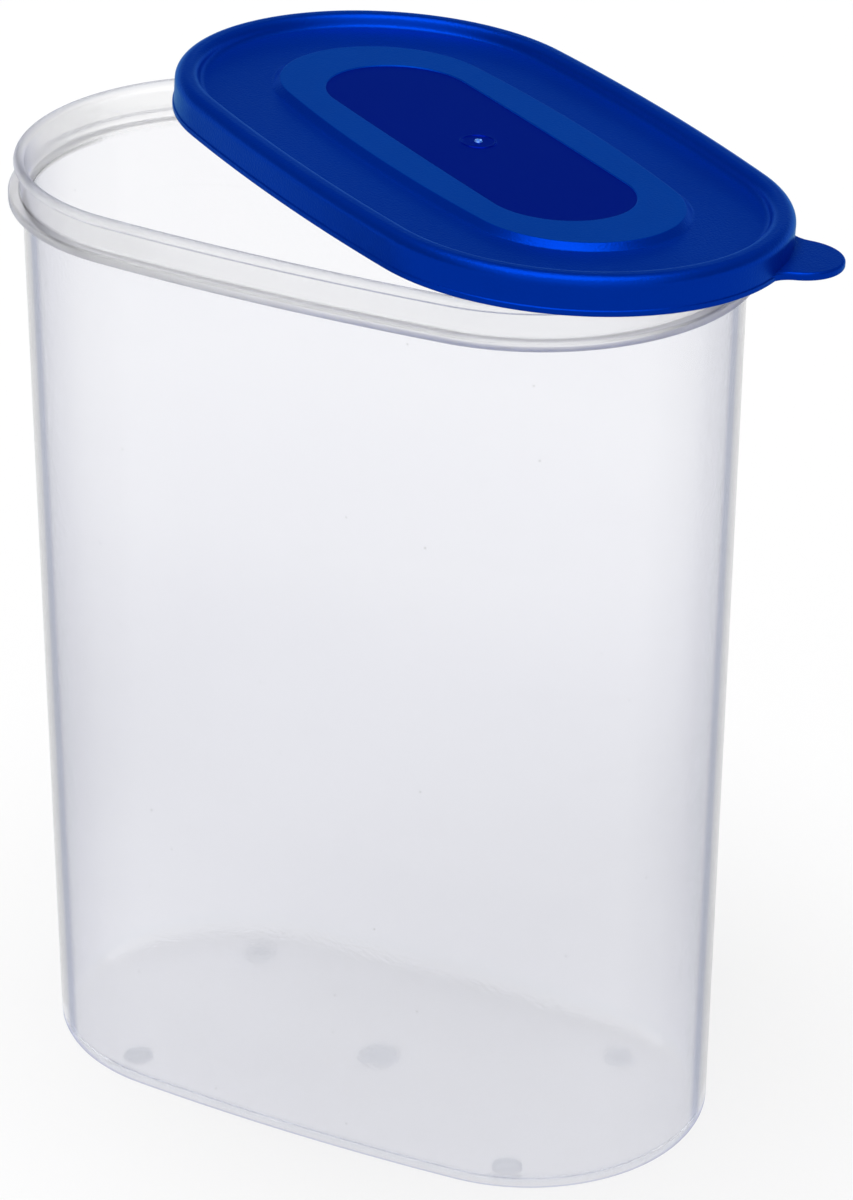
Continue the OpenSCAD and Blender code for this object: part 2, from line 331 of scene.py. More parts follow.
# %% The tub's profile, from the underside out, over the rim and in to the floor
# Each corner is its offset from the rim's outline, its height and its rounding.
BASE_FLAT = 14.0
BEAD_FLANK, BEAD_ROUND = 2.1, 1.44
INNER_ROUND = 1.5
tub_profile = rounded([
    (BASE_OFFSET - BASE_FLAT, PAD_HEIGHT),
    (BASE_OFFSET, PAD_HEIGHT, CORNER_RADIUS),
    (-BODY_IN, FLANGE_LOW, 0.35),
    (FLANGE_OUT, FLANGE_LOW, 0.5),
    (FLANGE_OUT, FLANGE_TOP, 0.7),
    (-NECK_IN, FLANGE_TOP, 0.6),
    (-NECK_IN, TUB_HEIGHT - BEAD_HEIGHT - BEAD_BLEND, 0.5),
    (0, TUB_HEIGHT - BEAD_FLANK, 1.0),
    (0, TUB_HEIGHT, BEAD_ROUND),
    (-BEAD_WIDTH, TUB_HEIGHT, BEAD_ROUND),
    (-NECK_IN - WALL, FLANGE_TOP - LEDGE_DROP, INNER_ROUND),
    (-BODY_IN - WALL, FLANGE_LOW - LEDGE_DROP, INNER_ROUND),
    (BASE_OFFSET - WALL, FLOOR_TOP, CORNER_RADIUS - WALL / 2),
    (BASE_OFFSET - BASE_FLAT, FLOOR_TOP),
])
print("tub profile points", len(tub_profile))

# %% The tub's pads: turned discs, and the larger one under the gate
PAD_RADIUS, PAD_INSET, PAD_TURN = 4.0, 14.5, math.radians(70)
GATE_PAD_RADIUS = 5.5
PAD_STATIONS = 48
PAD_SUNK, PAD_HOLE = 0.3, 0.4


def turned_disc(radius, x, y):
    """A disc with rounded edges: its profile (distance from the axis, height) turned once
    round, as (x + r cos a, y + r sin a, z), and closed by a pole in its small hole."""
    top = PAD_HEIGHT + PAD_SUNK
    profile = rounded([
        (PAD_HOLE, 0), (radius, 0, 0.35), (radius, top, 0.1), (PAD_HOLE, top)])
    a = 2 * math.pi * np.arange(PAD_STATIONS) / PAD_STATIONS
    r, z = profile[:, :1], profile[:, 1:]
    rings = np.stack([x + r * np.cos(a), y + r * np.sin(a), z + 0 * a], axis=2)
    return outward(closed_skin(rings))


pad_reach = rim["end_radius"] + BASE_OFFSET - PAD_INSET
pad_x = rim["end_x"] + pad_reach * math.cos(PAD_TURN)
pad_y = pad_reach * math.sin(PAD_TURN)
pads = [turned_disc(PAD_RADIUS, side_x * pad_x, side_y * pad_y)
        for side_x in (-1, 1) for side_y in (-1, 1)]
pads.append(turned_disc(GATE_PAD_RADIUS, 0, 0))
print("pads at", round(pad_x, 1), round(pad_y, 1))

# %% The floor's shallow panel, and the tub's whole skin
FLOOR_STEP, STEP_SLOPE, STEP_ROUND = 0.08, 0.4, 0.2
PANEL_LOW = FLOOR_TOP - FLOOR_STEP
LAST_RING = -12.0
panel = oval(half_length=69.5, half_depth=14.5, side_radius=6000.0)
panel_edge = rounded([
    (3, FLOOR_TOP),
    (STEP_SLOPE, FLOOR_TOP, STEP_ROUND),
    (0, PANEL_LOW, STEP_ROUND),
    (-3, PANEL_LOW),
])
tub_rings = np.concatenate([
    flat_rings(panel, (LAST_RING, 0), PAD_HEIGHT),
    carried(rim, tub_profile),
    carried(panel, panel_edge),
    flat_rings(panel, (LAST_RING,), PANEL_LOW),
])
tub_skin = join(outward(closed_skin(tub_rings)), *pads)
print("tub rings", len(tub_rings), "and faces", len(tub_skin[1]) + len(tub_skin[2]))

# %% [markdown]
# ## The lid
# The lid is one thin moulding too. Its skin starts under the middle, runs out below the
# hollow plateau and the panel, up into the channel that takes the rim, down the inside of
# the skirt past the snap bead, round the thickened edge, over the band, and in across the
# panel, the plateau and the smooth centre to the gate mark. It could be cut from a solid
# with booleans, but they leave ragged faces where thin walls meet. Here rings of three
# ovals and a circle follow each other in one stack, because the flats between them can
# join any two.

# %% The lid's profiles: offset, height and rounding of each corner
PLATEAU_HOLLOW = 1.3
BAND_OUTER_ROUND, BAND_INNER_ROUND, PANEL_ROUND = 2.9, 2.5, 1.8
BAND_SLOPE = 0.9
SNAP_UPPER, SNAP_LOWER, SNAP_FLAT = 0.8, 1.0, 0.25
PLATEAU_UNDER = PLATEAU_TOP - LID_WALL
lid_under_plateau = rounded([
    (-4, PLATEAU_UNDER),
    (0, PLATEAU_UNDER, 0.8),
    (PLATEAU_HOLLOW, PANEL_UNDER, 0.5),
    (4, PANEL_UNDER),
])
lid_shell = rounded([
    (PLUG_OUT - 6, PANEL_UNDER),
    (PLUG_OUT - PLUG_TAPER, PANEL_UNDER, 0.4),
    (PLUG_OUT, -LID_WALL, 1.2),
    (SKIRT_IN, -LID_WALL, 1.2),
    (SKIRT_IN, SNAP_Z + SNAP_UPPER, 0.2),
    (SKIRT_IN - SNAP_IN, SNAP_Z + SNAP_FLAT, 0.2),
    (SKIRT_IN - SNAP_IN, SNAP_Z - SNAP_FLAT, 0.2),
    (SKIRT_IN, SNAP_Z - SNAP_LOWER, 0.2),
    (SKIRT_IN, -LID_HEIGHT, 0.35),
    (SKIRT_OUT + EDGE_OUT, -LID_HEIGHT, 0.5),
    (SKIRT_OUT + EDGE_OUT, EDGE_HEIGHT - LID_HEIGHT, 0.15),
    (SKIRT_OUT, EDGE_HEIGHT + EDGE_BLEND - LID_HEIGHT, 0.15),
    (SKIRT_OUT, 0, BAND_OUTER_ROUND),
    (PLUG_OUT - LID_WALL, 0, BAND_INNER_ROUND),
    (PLUG_OUT - LID_WALL - PLUG_TAPER - BAND_SLOPE, -PANEL_DROP, PANEL_ROUND),
    (PLUG_OUT - 9, -PANEL_DROP),
])
lid_plateau = rounded([
    (5, -PANEL_DROP),
    (PLATEAU_EDGE, -PANEL_DROP, 1.2),
    (0, PLATEAU_TOP, 0.6),
    (-4, PLATEAU_TOP),
])
CORE_SLOPE, CORE_ROUND = 0.1, 0.12
lid_core = rounded([
    (2, PLATEAU_TOP),
    (CORE_SLOPE, PLATEAU_TOP, CORE_ROUND),
    (0, CORE_TOP, CORE_ROUND),
    (-2, CORE_TOP),
])
print("lid profile points", [len(profile) for profile in (
    lid_under_plateau, lid_shell, lid_plateau, lid_core)])

# %% The gate mark: a low ring round the torn stub of the sprue
# The stub's height above the core is multiplied by 1 + four lobes + three lobes round it.
GATE_EDGE = 0.1
RING_RADIUS, RING_WIDTH, RING_HEIGHT = 4.9, 0.5, 0.2
STUB_RADIUS, STUB_HEIGHT = 1.1, 0.45
STUB_SHOULDER, STUB_TIP = 0.8 * STUB_RADIUS, 0.2 * STUB_RADIUS
FOUR_LOBES, FOUR_TURNED, THREE_LOBES = 0.35, 0.6, 0.2
lid_gate = rounded([
    (8, CORE_TOP),
    (RING_RADIUS + GATE_EDGE, CORE_TOP, GATE_EDGE),
    (RING_RADIUS, CORE_TOP + RING_HEIGHT, GATE_EDGE),
    (RING_RADIUS - RING_WIDTH, CORE_TOP + RING_HEIGHT, GATE_EDGE),
    (RING_RADIUS - RING_WIDTH - GATE_EDGE, CORE_TOP, GATE_EDGE),
    (STUB_RADIUS, CORE_TOP, GATE_EDGE),
    (STUB_SHOULDER, CORE_TOP + STUB_HEIGHT, 0.15),
    (STUB_TIP, CORE_TOP + STUB_HEIGHT),
])
gate_rings = carried(circle_like(core), lid_gate)
stub = np.linalg.norm(gate_rings[..., :2], axis=2) < STUB_RADIUS
stub_rings = stub.all(axis=1)
direction = np.arctan2(gate_rings[..., 1], gate_rings[..., 0])
torn = (FOUR_LOBES * np.cos(4 * direction + FOUR_TURNED)
        + THREE_LOBES * np.cos(3 * direction))
gate_rings[..., 2] += np.where(stub, torn * (gate_rings[..., 2] - CORE_TOP), 0)
print("gate rings", len(gate_rings), "of them in the stub", int(stub_rings.sum()))

# %% The lid's rings, level, each stretch with the finish of its mould
FIRST_UNDER, LAST_ON_CORE = -20.0, -8.0
PLATEAU_BRIM, CORE_FOOT = 4, 2
lid_stack = [
    ("matt", flat_rings(plateau, (FIRST_UNDER,), PLATEAU_UNDER)),
    ("matt", carried(plateau, lid_under_plateau)),
    ("matt", carried(rim, lid_shell)),
    ("matt", carried(plateau, lid_plateau[:-PLATEAU_BRIM])),
    ("fine", carried(plateau, lid_plateau[-PLATEAU_BRIM:])),
    ("fine", carried(core, lid_core[:-CORE_FOOT])),
    ("smooth", carried(core, lid_core[-CORE_FOOT:])),
    ("smooth", flat_rings(core, (LAST_ON_CORE,), CORE_TOP)),
    ("smooth", gate_rings[~stub_rings]),
    # The stub's faces take the painted glint.
    ("torn", gate_rings[stub_rings]),
]
lid_rings = np.concatenate([rings for finish, rings in lid_stack])
FINISHES = ["matt", "fine", "smooth", "torn"]
ring_finish = np.repeat([FINISHES.index(finish) for finish, rings in lid_stack],
                        [len(rings) for finish, rings in lid_stack])
print("lid rings", len(lid_rings))

# %% [markdown]
# ## The pull tab
# The tab is a flat tongue at the skirt's lower edge. Its outline is five arcs that touch
# each other, so it is worked out from their centres and needs no drawing: the tip, a
# hollow fillet on each side, and an arc inside the skirt's wall where it joins. A cut-out
# sheet with a Bevel modifier would look alike, but its bevel would pinch at the fillets.
# Here rings of the outline, drawn in by the edge's rounding, make its skin.

# %% Outline of the tab, with x pointing out from the centre of the lid's rounded end
skirt_radius = rim["end_radius"] + SKIRT_OUT
tip_x = skirt_radius + TAB_LENGTH - TAB_RADIUS
fillet_x = ((skirt_radius + TAB_FILLET)**2 - (TAB_RADIUS + TAB_FILLET)**2
            + tip_x**2) / (2 * tip_x)
fillet_y = math.sqrt((skirt_radius + TAB_FILLET)**2 - fillet_x**2)
ROOT_DEPTH = 0.8
root_radius = skirt_radius - ROOT_DEPTH * LID_WALL
root_angle = math.atan2(fillet_y, fillet_x)
tip_angle = math.atan2(fillet_y, fillet_x - tip_x)


def arc_points(centre, radius, start, stop, count, hollow=False):
    """Points of an arc, centre + radius * (cos a, sin a), each with its outward normal,
    which on a hollow arc points to the centre."""
    a = np.linspace(start, stop, count)
    direction = np.stack([np.cos(a), np.sin(a)], axis=1)
    normals = -direction if hollow else direction
    return np.concatenate([centre + radius * direction, normals], axis=1)


FILLET_POINTS, TIP_POINTS, ROOT_POINTS = 20, 60, 24
NOT_DRAWN_IN = [1, 1, 0, 0]
fillet_start = root_angle + math.pi
fillet_stop = tip_angle + math.pi
tab_arcs = [
    arc_points((fillet_x, -fillet_y), TAB_FILLET, -fillet_start, -fillet_stop,
               FILLET_POINTS, hollow=True),
    arc_points((tip_x, 0), TAB_RADIUS, -tip_angle, tip_angle, TIP_POINTS)[1:-1],
    arc_points((fillet_x, fillet_y), TAB_FILLET, fillet_stop, fillet_start,
               FILLET_POINTS, hollow=True),
    arc_points((0, 0), root_radius, root_angle, -root_angle, ROOT_POINTS) * NOT_DRAWN_IN,
]
tab_outline = np.concatenate(tab_arcs)
print("tab outline points", len(tab_outline))

# %% The tab's skin: outline + draw * normal, at each height of its rounded edge
TAB_ROUND = 0.75
tab_edge = rounded([
    (-4, 0), (0, 0, TAB_ROUND), (0, TAB_THICK, TAB_ROUND), (-4, TAB_THICK)])[1:-1]
tab_plan = tab_outline[None, :, :2] + tab_edge[:, :1, None] * tab_outline[None, :, 2:]
tab_height = np.broadcast_to(tab_edge[:, 1][:, None, None], tab_plan.shape[:2] + (1,))
tab_rings = np.concatenate([tab_plan, tab_height], axis=2)
turn = math.radians(TAB_TURN)
tab_turned = tab_rings @ np.array([
    [math.cos(turn), math.sin(turn), 0], [-math.sin(turn), math.cos(turn), 0], [0, 0, 1]])
tab_placed = tab_turned + np.array([rim["end_x"], 0, -LID_HEIGHT])
tab_skin = outward(closed_skin(tab_placed))
print("tab volume", round(volume(*tab_skin) / 1000, 2), "ml")

# %% [markdown]
# ## Laying the lid on the rim
# The lid lies turned across the mouth and tips forward, because its skirt rests on the near
# rim and its panel on the far one. The object could be turned instead, but then patterns
# on object coordinates would turn with it when it is exported. So the turns are put into
# the mesh, one after another about x, y and z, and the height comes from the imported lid.

# %% Turning and placing the lid
def turning(tip, dip, turn):
    """Matrix that turns about x by tip, then about y by dip, then about z by turn."""
    (cx, sx), (cy, sy), (cz, sz) = [
        (math.cos(math.radians(a)), math.sin(math.radians(a))) for a in (tip, dip, turn)]
    about_x = np.array([[1, 0, 0], [0, cx, -sx], [0, sx, cx]])
    about_y = np.array([[cy, 0, sy], [0, 1, 0], [-sy, 0, cy]])
    about_z = np.array([[cz, -sz, 0], [sz, cz, 0], [0, 0, 1]])
    return about_z @ about_y @ about_x


lid_vertices, lid_quads, lid_fans = join(outward(closed_skin(lid_rings)), tab_skin)
laid = lid_vertices @ turning(LID_TIP, LID_DIP, LID_TURN).T
lid_low, lid_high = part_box("lid")
band_height = lid_high.z / MM - laid[:, 2].max()
lid_skin = (laid + np.array([*LID_CENTRE, band_height]), lid_quads, lid_fans)
off_by = [round(float(v), 3) for v in (
    *(lid_skin[0].min(axis=0) - np.array(lid_low) / MM),
    *(lid_skin[0].max(axis=0) - np.array(lid_high) / MM))]
print("band height", round(band_height, 3), "mm, off the packed lid's box by", off_by)

# %% [markdown]
# ## Helpers for materials
# Every material here is a Principled shader fed by a few textures in object coordinates.
# Such a material needs no unwrapping, because the two mouldings have no seams to follow,
# and its pattern stays on the moulding when that moves. Node trees could be drawn by hand
# in the editor, but in code each step of a finish has a name. Some helpers keep it short.

# %% Nodes, and values carried through them
def blank_material(name):
    """A new material with a Principled shader on its output: the material, its node tree
    and the shader."""
    material = bpy.data.materials.new(name)
    material.use_nodes = True
    tree = material.node_tree
    tree.nodes.clear()
    shader = tree.nodes.new("ShaderNodeBsdfPrincipled")
    output = tree.nodes.new("ShaderNodeOutputMaterial")
    tree.links.new(shader.outputs["BSDF"], output.inputs["Surface"])
    return material, tree, shader


def node(tree, kind, inputs=None, **settings):
    """A node with its settings, and each input set to a value or linked to an output."""
    made = tree.nodes.new(kind)
    for key, value in settings.items():
        setattr(made, key, value)
    for key, value in (inputs or {}).items():
        if isinstance(value, bpy.types.NodeSocket):
            tree.links.new(value, made.inputs[key])
        else:
            made.inputs[key].default_value = value
    return made


def ramp(tree, factor, *stops):
    """The colour at a factor between (position, grey or colour) stops."""
    made = node(tree, "ShaderNodeValToRGB", {"Fac": factor})
    elements = made.color_ramp.elements
    while len(elements) < len(stops):
        elements.new(0.5)
    for element, (position, value) in zip(elements, stops):
        element.position = position
        colour = value if isinstance(value, tuple) else (value, value, value)
        element.color = (*colour, 1)
    return made.outputs["Color"]


def calculated(tree, operation, *values):
    """The result of one Math node on one or two values."""
    inputs = dict(enumerate(values))
    return node(tree, "ShaderNodeMath", inputs, operation=operation).outputs[0]


def ranged(tree, value, from_range=(0.0, 1.0), to_range=(0.0, 1.0)):
    """A value moved from one range to another in proportion, and kept inside it."""
    return node(tree, "ShaderNodeMapRange", {
        "Value": value, "From Min": from_range[0], "From Max": from_range[1],
        "To Min": to_range[0], "To Max": to_range[1]}).outputs[0]


# %% Colours and shaders mixed
# A Mix node has sockets for every kind of value: its colours are inputs 6 and 7 and
# output 2, and plain numbers are inputs 2 and 3 and output 0. Its share is input 0.
def blended(tree, share, first, second):
    """The first colour where the share is 0, the second where it is 1."""
    return node(tree, "ShaderNodeMix", {0: share, 6: first, 7: second},
                data_type="RGBA").outputs[2]


def multiplied(tree, colour, *others):
    """The product of colours, as of light that passes one filter after another."""
    for other in others:
        colour = node(tree, "ShaderNodeMix", {0: 1.0, 6: colour, 7: other},
                      data_type="RGBA", blend_type="MULTIPLY").outputs[2]
    return colour


def mixed_shader(tree, share, first, second):
    """A Mix Shader node: the first shader where the share is 0, the second at 1."""
    return node(tree, "ShaderNodeMixShader", {
        "Fac": share, 1: first.outputs[0], 2: second.outputs[0]})


def to_output(tree, shader):
    """Links a shader to the material's output."""
    tree.links.new(shader.outputs[0], tree.nodes["Material Output"].inputs["Surface"])


def any_ray(tree, *kinds):
    """1 for rays of these kinds of the Light Path node, 0 for the others."""
    path = node(tree, "ShaderNodeLightPath").outputs
    share = path[kinds[0]]
    for kind in kinds[1:]:
        share = calculated(tree, "MAXIMUM", share, path[kind])
    return share


def fine_bump(tree, shader, at, scale, strength, distance):
    """The mould's grain: a noise in object coordinates as a shallow bump."""
    grain = node(tree, "ShaderNodeTexNoise", {"Vector": at, "Scale": scale, "Detail": 2.0})
    bump = node(tree, "ShaderNodeBump", {
        "Strength": strength, "Distance": distance, "Height": grain.outputs["Fac"]})
    tree.links.new(bump.outputs["Normal"], shader.inputs["Normal"])


print("helpers for nodes are ready")

# %% [markdown]
# ## Frosted polypropylene
# Natural polypropylene is a milky glass. A ray that meets the wall squarely comes through
# almost clear, and one that grazes it crosses more plastic and comes out greyer, so the
# tub darkens towards its outlines. A volume could do this, but it renders slowly and does
# not travel in a model. Here the shader's base colour does it: light that is transmitted
# is tinted at every skin that it crosses, by how far the skin is turned from the ray and
# by how high it is. The tables below are that tint, and much of it is painted shade. The
# darkening towards the outlines stands partly for the darker surroundings seen through the
# edges. A thin dark line is painted inside the outline and where the floor meets the wall.
# The tint by height paints the shadow behind the tub as it shows through the walls.

# %% How much light each part of the tub lets through
# Painted shade by height, from 0, the table, to 1, the rim: the wall darker round mid
# height, standing for the shadow behind the tub seen through it, and darker at the crest.
PAINTED_SHADE_BY_HEIGHT = (
    (0.0, (0.976, 0.978, 0.987)), (0.15, (0.986, 0.987, 0.993)),
    (0.25, (0.945, 0.947, 0.955)), (0.34, (0.923, 0.925, 0.934)),
    (0.40, (0.926, 0.927, 0.936)), (0.465, (0.943, 0.944, 0.952)),
    (0.6, (0.974, 0.974, 0.981)), (0.7, 1.0), (0.9970, 1.0),
    (0.9985, (0.700, 0.715, 0.760)))
# The same for what passes straight through the foot and the rim, with a dark blue line
# painted as shade where the floor meets the wall.
STRAIGHT_TINT_WITH_PAINTED_LINE = (
    (0.0012, (0.985, 0.987, 0.992)), (0.0022, (0.955, 0.957, 0.966)),
    (0.0160, (0.955, 0.957, 0.966)), (0.0172, (0.780, 0.830, 0.900)),
    (0.0186, (0.780, 0.830, 0.900)), (0.0200, (0.975, 0.977, 0.985)),
    (0.0270, 1.0), (0.9970, 1.0), (0.9985, (0.820, 0.835, 0.880)))

# Where the plastic is thick and milky: at the foot and from the flange up.
MILKY = ((0.004, 0.6), (0.025, 0.0), (0.950, 0.0), (0.955, 1.0))
FOOT_VEIL = ((0.020, 0.85), (0.027, 0.0))
NECK_VEIL = ((0.950, 0.0), (0.955, 0.65))
NECK_VEIL_TURNED = ((0.35, 1.0), (0.75, 0.6))

# Colours by how far a skin is turned from the ray: 0 squarely, 1 along the skin. Their
# darkening towards 1 is partly the longer path through the plastic and partly painted shade.
# The outer skin has a thin painted dark blue line inside its outline, and outside that a
# painted lighter edge.
OUTER_TINT_WITH_PAINTED_LINE = (
    (0.25, 1.0), (0.4, (0.950, 0.952, 0.958)),
    (0.54, (0.880, 0.884, 0.905)), (0.65, (0.810, 0.820, 0.866)),
    (0.70, (0.330, 0.375, 0.550)), (0.75, (0.300, 0.345, 0.520)),
    (0.80, (0.850, 0.870, 0.920)), (0.85, (0.975, 0.980, 0.992)))
INNER_TINT = (
    (0.25, 1.0), (0.4, (0.920, 0.922, 0.932)),
    (0.54, (0.800, 0.804, 0.835)), (0.67, (0.730, 0.738, 0.785)),
    (0.79, (0.500, 0.515, 0.590)), (1.0, (0.400, 0.430, 0.540)))
THICK_TINT = (
    (0.25, 1.0), (0.6, (0.97, 0.97, 0.98)),
    (0.8, (0.80, 0.81, 0.89)), (1.0, (0.60, 0.62, 0.74)))

CLEAR_ROUGHNESS, MILKY_ROUGHNESS = ((0.55, 0.11), (0.8, 0.16), (1.0, 0.12)), 0.32
POLYPROPYLENE_IOR = 1.49
print("tints by height", len(PAINTED_SHADE_BY_HEIGHT) + len(STRAIGHT_TINT_WITH_PAINTED_LINE), "and by turn",
      len(OUTER_TINT_WITH_PAINTED_LINE) + len(INNER_TINT) + len(THICK_TINT))


# %% Which skin is which, and its tint
def outer_skin(tree, at, surface):
    """1 on the outer skin and 0 on the inner one.

    The normal as a ray sees it is turned back to the mesh's own by Backfacing, and then
    it points away from the tub's axis, (x, y, 0) . normal > 0, on the outer skin only.
    """
    flat = node(tree, "ShaderNodeVectorMath", {0: at, 1: (1, 1, 0)}, operation="MULTIPLY")
    away = node(tree, "ShaderNodeVectorMath", {
        0: flat.outputs[0], 1: surface["Normal"]}, operation="DOT_PRODUCT").outputs["Value"]
    side = ranged(tree, surface["Backfacing"], to_range=(1.0, -1.0))
    return calculated(tree, "GREATER_THAN", calculated(tree, "MULTIPLY", away, side), 0.0)


def turned_tint(tree, at, facing, milky):
    """The tint of the walls by their turn, and of the thick parts, which are the neck, the
    foot and every level face; and the thick parts' own tint."""
    surface = node(tree, "ShaderNodeNewGeometry").outputs
    # The darkening by turn is partly painted shade, and the outer skin's tint holds a
    # painted dark line.
    wall = blended(tree, outer_skin(tree, at, surface),
                   ramp(tree, facing, *INNER_TINT), ramp(tree, facing, *OUTER_TINT_WITH_PAINTED_LINE))
    thick = ramp(tree, facing, *THICK_TINT)
    upright = node(tree, "ShaderNodeSeparateXYZ", {0: surface["Normal"]}).outputs[2]
    level = ranged(tree, calculated(tree, "ABSOLUTE", upright), from_range=(0.1, 0.5))
    return blended(tree, calculated(tree, "MAXIMUM", level, milky), wall, thick), thick


print("stops of tint: outer skin", len(OUTER_TINT_WITH_PAINTED_LINE), "inner skin", len(INNER_TINT))

# %% Small marks of the moulding
SPECK_SCALE, SPECK = 70.0, ((0.02, 0.75), (0.035, 1.0))
FLOW_SCALE = (5.0, 5.0, 40.0)
FLOW_LINES = ((0.400, 1.0), (0.402, 0.985), (0.404, 1.0),
              (0.560, 1.0), (0.5615, 0.985), (0.563, 1.0))


def marks(tree, at):
    """Dark specks in the cells of a Voronoi pattern, and flow lines, which are two levels
    of a noise that is drawn out along the rim."""
    cells = node(tree, "ShaderNodeTexVoronoi", {"Vector": at, "Scale": SPECK_SCALE})
    drawn = node(tree, "ShaderNodeMapping", {"Vector": at, "Scale": FLOW_SCALE})
    flow = node(tree, "ShaderNodeTexNoise", {
        "Vector": drawn.outputs[0], "Scale": 1.0, "Detail": 1.0})
    return (ramp(tree, cells.outputs["Distance"], *SPECK),
            ramp(tree, flow.outputs["Fac"], *FLOW_LINES))


print("cells for specks are about", round(1000 / SPECK_SCALE), "mm wide")

# %% The veil: light that passes straight through the milky parts
def straight_veil(tree, height, facing, thick, veiled):
    """The veil's shader and its share, which is the larger of the foot's and the neck's."""
    # The veil's colour holds the dark line painted where the floor meets the wall.
    straight = multiplied(tree, thick, ramp(tree, height, *STRAIGHT_TINT_WITH_PAINTED_LINE), (*veiled, 1))
    veil = node(tree, "ShaderNodeBsdfTransparent", {"Color": straight})
    neck_share = calculated(tree, "MULTIPLY", ramp(tree, height, *NECK_VEIL),
                            ramp(tree, facing, *NECK_VEIL_TURNED))
    return veil, calculated(tree, "MAXIMUM", ramp(tree, height, *FOOT_VEIL), neck_share)


print("veil at the foot", FOOT_VEIL[0][1], "and at the neck", NECK_VEIL[-1][1])

# %% The frosted material
CLOUD_SCALE = 9.0
LAMP_LIGHT = (0.992, 0.992, 0.996, 1)


def frosted(name, pale, paler, veiled, clear_share, milky_share):
    """Milky plastic that bends light, under a veil that lets some pass straight.

    pale and paler are the two tints of its clouds, veiled that of the light that passes
    straight, and the shares are how much of the wall and of the milky parts is clear.
    Light from lamps and off other things passes as through a window, so that it reaches
    what is inside and behind.
    """
    material, tree, shader = blank_material(name)
    at = node(tree, "ShaderNodeTexCoord").outputs["Object"]
    height = ranged(tree, node(tree, "ShaderNodeSeparateXYZ", {0: at}).outputs[2],
                    from_range=(0.0, TUB_HEIGHT * MM))
    facing = node(tree, "ShaderNodeLayerWeight", {"Blend": 0.5}).outputs["Facing"]
    milky = ramp(tree, height, *MILKY)

    cloud = node(tree, "ShaderNodeTexNoise", {
        "Vector": at, "Scale": CLOUD_SCALE, "Detail": 3.0})
    tint = ramp(tree, cloud.outputs["Fac"], (0.3, pale), (0.7, paler))
    turned, thick = turned_tint(tree, at, facing, milky)
    # The base colour holds painted shade: by height, and in part by turn.
    clear = multiplied(tree, tint, turned, ramp(tree, height, *PAINTED_SHADE_BY_HEIGHT), *marks(tree, at))
    tree.links.new(clear, shader.inputs["Base Color"])

    rough = node(tree, "ShaderNodeMix", {
        0: milky, 2: ramp(tree, facing, *CLEAR_ROUGHNESS), 3: MILKY_ROUGHNESS},
        data_type="FLOAT").outputs[0]
    tree.links.new(rough, shader.inputs["Roughness"])
    weight = ranged(tree, milky, to_range=(clear_share, milky_share))
    tree.links.new(weight, shader.inputs["Transmission Weight"])
    shader.inputs["IOR"].default_value = POLYPROPYLENE_IOR
    fine_bump(tree, shader, at, scale=900.0, strength=0.05, distance=0.0005)

    veil, veil_share = straight_veil(tree, height, facing, thick, veiled)
    seen = mixed_shader(tree, veil_share, shader, veil)
    window = node(tree, "ShaderNodeBsdfTransparent", {"Color": LAMP_LIGHT})
    lit_by = any_ray(tree, "Is Shadow Ray", "Is Diffuse Ray")
    to_output(tree, mixed_shader(tree, lit_by, seen, window))
    return material


frosted_plastic = frosted(
    "frosted_polypropylene", pale=(0.968, 0.970, 0.993), paler=(0.976, 0.978, 0.998),
    veiled=(1.0, 1.0, 1.0), clear_share=0.985, milky_share=0.90)
frosted_pads = frosted(
    "frosted_pads", pale=(0.915, 0.945, 0.970), paler=(0.930, 0.960, 0.985),
    veiled=(0.990, 0.995, 1.0), clear_share=0.9, milky_share=0.8)
print("frosted materials", frosted_plastic.name, frosted_pads.name)

# %% [markdown]
# ## Blue polyethylene
# The lid's plastic is coloured all through and opaque, and the mould gave it three
# finishes: matt on the band, skirt and panel, a finer matt on the plateau, and smooth in
# the middle. The torn stub of the sprue is painted a paler blue, a painted glint that
# stands for its highlight. Plain dielectric highlights would be white and would wash the
# deep blue out. So the highlight is tinted and half of it is metallic in the shader, which
# keeps it blue, though the plastic holds no metal.

# %% Blue plastic in the finishes of its mould
SHINE_LEVEL, SHINE_TINT, SHINE_METALLIC = 0.01, (0.0, 0.75, 1.0, 1.0), 0.5


def blue(name, light, dark, roughness, grain_height, cloud_scale=14.0):
    """Opaque plastic whose colour drifts between two blues in soft clouds."""
    material, tree, shader = blank_material(name)
    at = node(tree, "ShaderNodeTexCoord").outputs["Object"]
    cloud = node(tree, "ShaderNodeTexNoise", {
        "Vector": at, "Scale": cloud_scale, "Detail": 4.0})
    tint = ramp(tree, cloud.outputs["Fac"], (0.3, dark), (0.7, light))
    tree.links.new(tint, shader.inputs["Base Color"])
    shader.inputs["Roughness"].default_value = roughness
    shader.inputs["Specular IOR Level"].default_value = SHINE_LEVEL
    shader.inputs["Specular Tint"].default_value = SHINE_TINT
    shader.inputs["Metallic"].default_value = SHINE_METALLIC
    fine_bump(tree, shader, at, scale=1500.0, strength=grain_height, distance=0.0003)
    return material


blue_plastic = [
    blue("blue_matt", (0.0, 0.036, 0.430), (0.0, 0.031, 0.390), 0.32, 0.3),
    blue("blue_fine", (0.0, 0.058, 0.470), (0.0, 0.052, 0.440), 0.36, 0.2),
    blue("blue_smooth", (0.0, 0.010, 0.340), (0.0, 0.009, 0.320), 0.20, 0.05),
    # The stub's pale blue is a painted glint.
    blue("blue_painted_glint", (0.30, 0.55, 1.0), (0.04, 0.18, 0.80), 0.30, 0.5, cloud_scale=900.0),
]
print("blue finishes", [material.name for material in blue_plastic])

# %% [markdown]
# ## The two pieces
# Each skin becomes one mesh object. The pads could be a piece of their own, but on the
# real tub they are part of the moulding, so they share its mesh and only take their own
# material slot. A ring's finish goes to the faces between it and the ring before it. Each
# piece rides on the body that it belongs to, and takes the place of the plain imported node.

